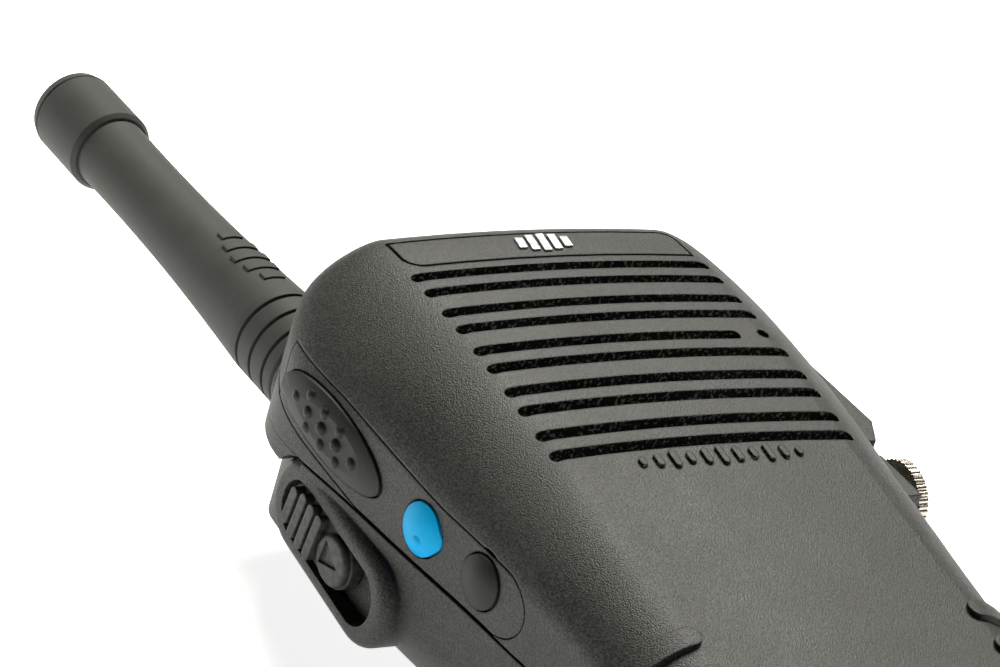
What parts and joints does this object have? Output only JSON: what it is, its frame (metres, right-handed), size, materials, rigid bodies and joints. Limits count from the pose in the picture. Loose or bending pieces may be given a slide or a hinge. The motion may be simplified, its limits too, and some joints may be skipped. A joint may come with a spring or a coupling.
{
  "type": "two way radio",
  "caption": "Handheld two-way radio with a stub antenna, slotted speaker face, side push-to-talk controls, knobs, accessory cover and a latched battery",
  "frame": {"origin": "under the middle of the whole length, antenna included, on the back plane", "axes": "+X to the radio's right side, +Y towards the antenna end, +Z out of the speaker face; the radio lies on its back"},
  "size_m": [0.0632, 0.189, 0.0379],
  "materials": {
    "case_plastic": "fine moulded grain",
    "dark_plastic": "smooth moulded",
    "button_rubber": "soft matt",
    "blue_rubber": "soft satin",
    "antenna_rubber": "matt overmoulded",
    "seal_rubber": "soft",
    "nickel": "warm nickel plate",
    "steel": "plain",
    "brass": "machined",
    "board": "solder mask",
    "component": "moulded",
    "cloth": "woven",
    "cell": "sleeved",
    "lens": "clear"
  },
  "bodies": {
    "radio": {"accessory_contacts": "brass", "accessory_insert": "brass", "accessory_socket": "dark_plastic", "antenna_socket": "nickel", "badge": "nickel", "battery_board": "board", "battery_case": "case_plastic", "battery_cells": "cell", "battery_lid": "dark_plastic", "battery_terminals": "brass", "case_screws": "steel", "channel_encoder": "component", "charge_contacts": "brass", "clip_inserts": "brass", "contact_block": "dark_plastic", "contact_pins": "brass", "control_nuts": "nickel", "control_seals": "seal_rubber", "front_case": "case_plastic", "main_board": "board", "main_seal": "seal_rubber", "microphone": "component", "microphone_boot": "dark_plastic", "rear_chassis": "case_plastic", "shield_cans": "steel", "side_bezel": "case_plastic", "side_seal": "seal_rubber", "side_switch_board": "board", "side_switches": "component", "speaker_basket": "steel", "speaker_clamp": "dark_plastic", "speaker_cone": "cloth", "speaker_gauze": "cloth", "speaker_magnet": "steel", "status_lens": "lens", "switch_frame": "dark_plastic", "volume_control": "component"},
    "ptt": {"ptt_button": "button_rubber"},
    "blue": {"blue_button": "blue_rubber"},
    "black": {"black_button": "button_rubber"},
    "channel": {"channel_knob": "dark_plastic", "channel_shaft": "steel"},
    "volume": {"volume_knob": "dark_plastic", "volume_shaft": "steel"},
    "antenna": {"antenna_ferrule": "nickel", "antenna_coil": "steel", "antenna_sheath": "antenna_rubber", "antenna_cap": "antenna_rubber"},
    "cover": {"accessory_cover": "case_plastic", "cover_seal": "seal_rubber"},
    "screw": {"cover_screw": "nickel"},
    "latch_left": {"latch_slider_left": "dark_plastic", "latch_bolt_left": "dark_plastic", "latch_spring_left": "steel"},
    "latch_right": {"latch_slider_right": "dark_plastic", "latch_bolt_right": "dark_plastic", "latch_spring_right": "steel"}
  },
  "joints": [
    {"name": "ptt_press", "type": "slide", "parent": "radio", "child": "ptt", "axis": [0.9934, 0.1149, 0], "range_m": [0, 0.0008], "stiffness_N_per_m": 2500},
    {"name": "blue_press", "type": "slide", "parent": "radio", "child": "blue", "axis": [0.9934, 0.1149, 0], "range_m": [0, 0.0008], "stiffness_N_per_m": 2500},
    {"name": "black_press", "type": "slide", "parent": "radio", "child": "black", "axis": [0.9934, 0.1149, 0], "range_m": [0, 0.0008], "stiffness_N_per_m": 2500},
    {"name": "channel_turn", "type": "hinge", "parent": "radio", "child": "channel", "pos_m": [-0.0032, 0.0375, 0.0185], "axis": [0, 1, 0], "range_deg": [0, 337.5]},
    {"name": "volume_turn", "type": "hinge", "parent": "radio", "child": "volume", "pos_m": [0.0145, 0.0375, 0.0185], "axis": [0, 1, 0], "range_deg": [0, 270]},
    {"name": "antenna_unscrew", "type": "hinge", "parent": "radio", "child": "antenna", "pos_m": [-0.021, 0.0375, 0.0196], "axis": [0, 1, 0], "continuous": true},
    {"name": "cover_off", "type": "slide", "parent": "radio", "child": "cover", "axis": [1, 0, 0], "range_m": [0, 0.015]},
    {"name": "screw_turn", "type": "hinge", "parent": "cover", "child": "screw", "pos_m": [0.03, -0.0021, 0.0234], "axis": [1, 0, 0], "continuous": true},
    {"name": "latch_left_slide", "type": "slide", "parent": "radio", "child": "latch_left", "axis": [0, -0.9903, -0.1392], "range_m": [0, 0.0045], "stiffness_N_per_m": 300},
    {"name": "latch_right_slide", "type": "slide", "parent": "radio", "child": "latch_right", "axis": [0, -0.9903, -0.1392], "range_m": [0, 0.0045], "stiffness_N_per_m": 300}
  ]
}
